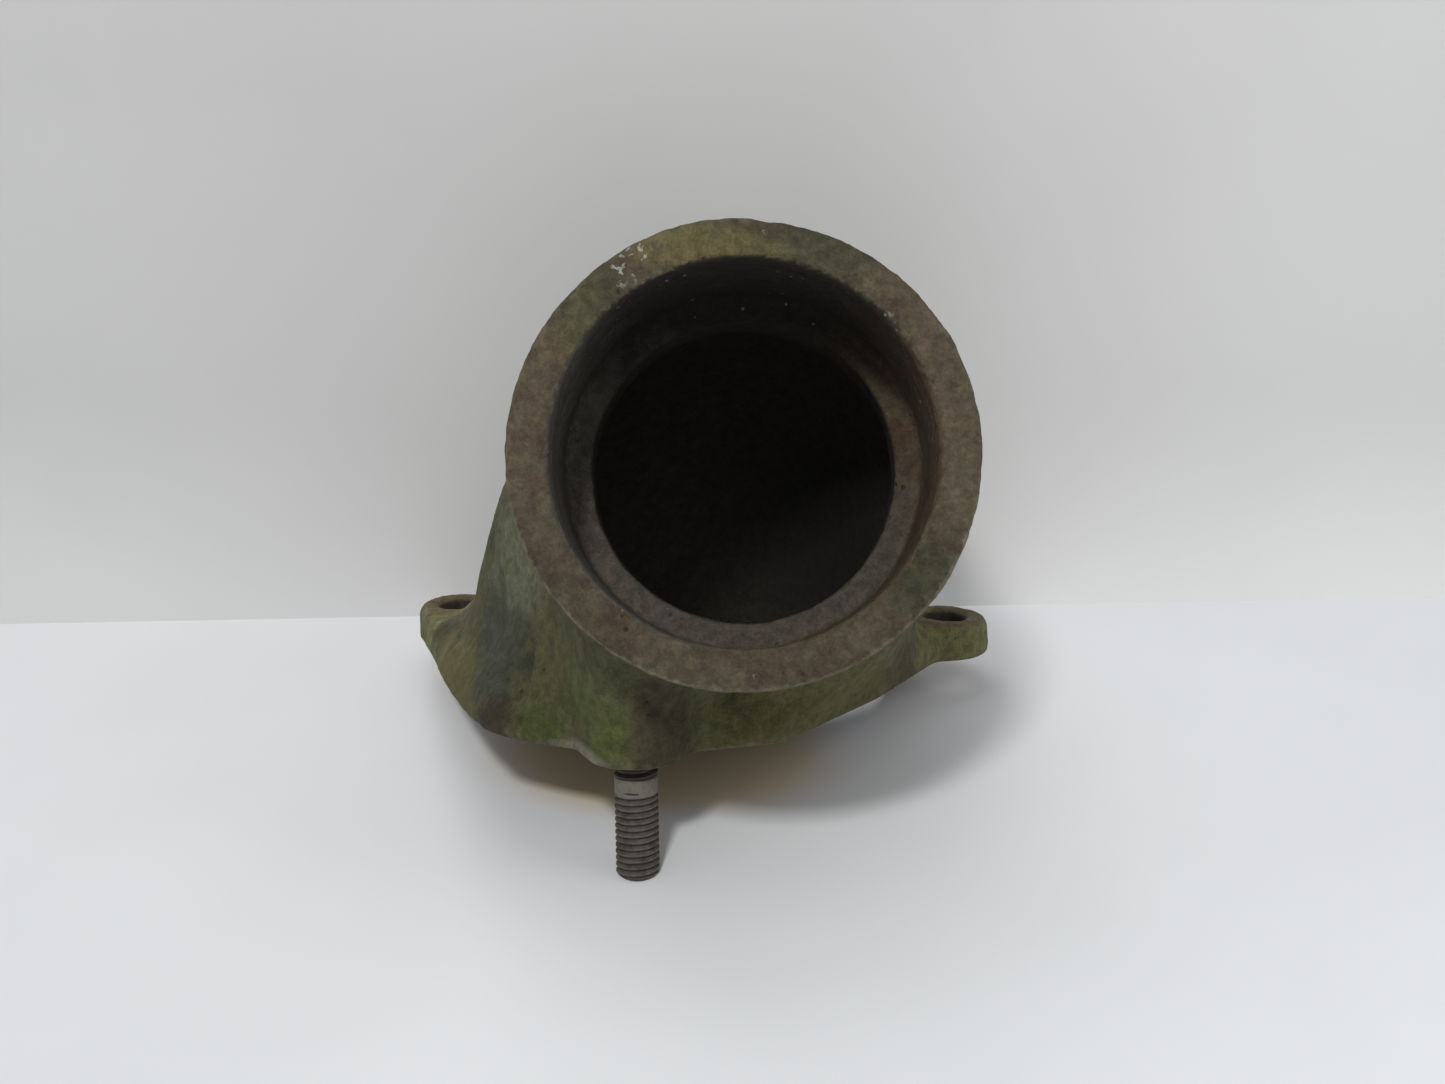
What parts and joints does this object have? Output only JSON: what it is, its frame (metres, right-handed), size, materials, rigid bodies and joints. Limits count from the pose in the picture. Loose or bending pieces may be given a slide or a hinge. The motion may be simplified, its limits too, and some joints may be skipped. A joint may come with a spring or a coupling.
{
  "type": "pipe elbow",
  "caption": "Cast-iron pipe elbow that turns the flow from a bolted three-lobed flange into a slip socket for a pipe, with a stud screwed up into the flange's front lobe.",
  "frame": {"origin": "centre of the port in the mounting face of the flange", "axes": "+Z out of the flange's upper side, away from the mounting face; X parallel to the line through the two ear holes; -Y towards the stud and the mouth"},
  "size_m": [0.1982, 0.2184, 0.1911],
  "materials": {
    "elbow_casting": "rough sand casting, rusted, with worn green paint",
    "flange_stud": "dull worn steel, lightly rusted threads"
  },
  "bodies": {
    "root": {"elbow_casting": "elbow_casting", "flange_stud": "flange_stud"}
  },
  "joints": []
}
